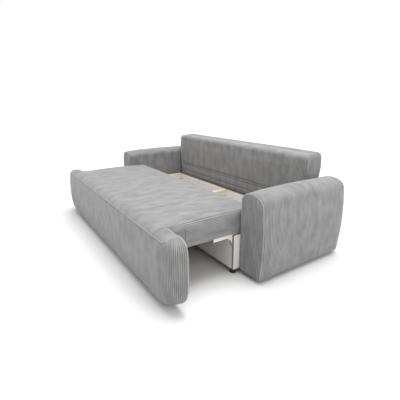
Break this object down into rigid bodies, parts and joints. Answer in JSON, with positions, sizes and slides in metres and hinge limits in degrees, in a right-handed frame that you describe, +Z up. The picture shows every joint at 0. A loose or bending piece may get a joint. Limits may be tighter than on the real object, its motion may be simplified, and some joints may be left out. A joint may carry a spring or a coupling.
{
  "type": "sofa bed",
  "caption": "Upholstered pull-out sofa bed: the seat and its padded front roll forward and the backrest folds down behind it over a bedding chest.",
  "frame": {"origin": "on the floor under the middle of the whole object, with the seat drawn out", "axes": "+X from left to right seen from the front, +Y to the back, +Z up"},
  "size_m": [2.47, 1.5799, 0.7999],
  "materials": {
    "fabric": "light grey wide-wale corduroy over foam",
    "laminate": "pale grey laminated chipboard with a brown edge",
    "hardboard": "plain hardboard",
    "chipboard": "raw chipboard",
    "pine": "planed pine",
    "black_plastic": "matt black moulded plastic",
    "steel": "zinc-plated steel",
    "castor_plastic": "dark grey moulded plastic"
  },
  "bodies": {
    "base": {"chest_side_left": "laminate", "chest_side_right": "laminate", "chest_front_board": "laminate", "chest_back_board": "laminate", "chest_rear_board": "laminate", "back_shelf": "laminate", "chest_floor": "hardboard", "floor_bearers": "pine", "cross_rail_left": "pine", "cross_rail_centre": "pine", "cross_rail_right": "pine", "corner_blocks": "pine", "chest_feet": "black_plastic", "arm_left_upholstery": "fabric", "arm_right_upholstery": "fabric", "arm_left_frame": "chipboard", "arm_right_frame": "chipboard", "arm_left_base_board": "chipboard", "arm_right_base_board": "chipboard", "arm_bolts": "steel", "arm_glides": "black_plastic", "hinge_fixed_plates": "steel", "hinge_pins": "steel"},
    "backrest": {"back_upholstery": "fabric", "back_frame_rails": "pine", "back_frame_posts": "pine", "back_frame_panel": "hardboard", "hinge_blocks": "pine", "hinge_turning_plates": "steel"},
    "seat": {"seat_upholstery": "fabric", "seat_frame_rails": "pine", "seat_frame_bars": "pine", "seat_base_board": "hardboard", "seat_springs": "steel", "seat_runner_left": "laminate", "seat_runner_right": "laminate", "seat_stops": "pine", "seat_glides": "black_plastic", "front_panel_upholstery": "fabric", "front_panel_back_board": "chipboard", "front_panel_face_board": "chipboard", "front_panel_spacers": "pine", "castor_blocks": "pine", "castor_forks": "steel", "castor_axles": "steel"},
    "wheel_left": {"castor_wheel_left": "castor_plastic"},
    "wheel_centre": {"castor_wheel_centre": "castor_plastic"},
    "wheel_right": {"castor_wheel_right": "castor_plastic"}
  },
  "joints": [
    {"name": "seat_slide", "type": "slide", "parent": "base", "child": "seat", "axis": [0, 1, 0], "range_m": [0, 0.5]},
    {"name": "backrest_fold", "type": "hinge", "parent": "base", "child": "backrest", "pos_m": [0, 0.563, 0.302], "axis": [-1, 0, 0], "range_deg": [-90, 0]},
    {"name": "castor_spin_left", "type": "hinge", "parent": "seat", "child": "wheel_left", "pos_m": [-0.8575, -0.714, 0.02], "axis": [1, 0, 0], "continuous": true},
    {"name": "castor_spin_centre", "type": "hinge", "parent": "seat", "child": "wheel_centre", "pos_m": [0, -0.714, 0.02], "axis": [1, 0, 0], "continuous": true},
    {"name": "castor_spin_right", "type": "hinge", "parent": "seat", "child": "wheel_right", "pos_m": [0.8575, -0.714, 0.02], "axis": [1, 0, 0], "continuous": true}
  ]
}
